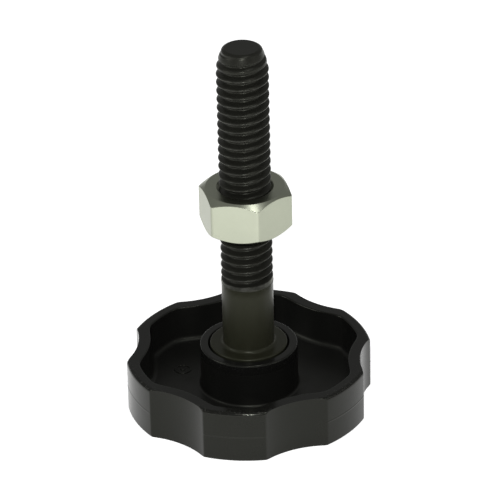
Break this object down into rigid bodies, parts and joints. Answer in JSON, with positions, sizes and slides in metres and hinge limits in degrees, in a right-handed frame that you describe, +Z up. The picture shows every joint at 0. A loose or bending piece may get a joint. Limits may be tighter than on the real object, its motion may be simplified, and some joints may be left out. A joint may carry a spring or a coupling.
{
  "type": "furniture leveling foot",
  "caption": "Hand-turned leveling foot: a lobed plastic cup moulded round a threaded steel stud, with a hexagon lock nut.",
  "frame": {"origin": "centre of the glide face on the underside, where the foot stands on the floor", "axes": "+Z up along the stud's axis; one lobe of the hand wheel points along -Y"},
  "size_m": [0.0366, 0.038, 0.0603],
  "materials": {
    "moulded_plastic": "glossy black moulded plastic",
    "black_steel": "oiled black-oxide steel",
    "zinc_plate": "bright zinc plate, slightly satin"
  },
  "bodies": {
    "foot": {"foot_base": "moulded_plastic", "threaded_stud": "black_steel"},
    "nut": {"lock_nut": "zinc_plate"}
  },
  "joints": [
    {"name": "nut_travel", "type": "slide", "parent": "foot", "child": "nut", "axis": [0, 0, 1], "range_m": [-0.00706, 0.01834]}
  ]
}
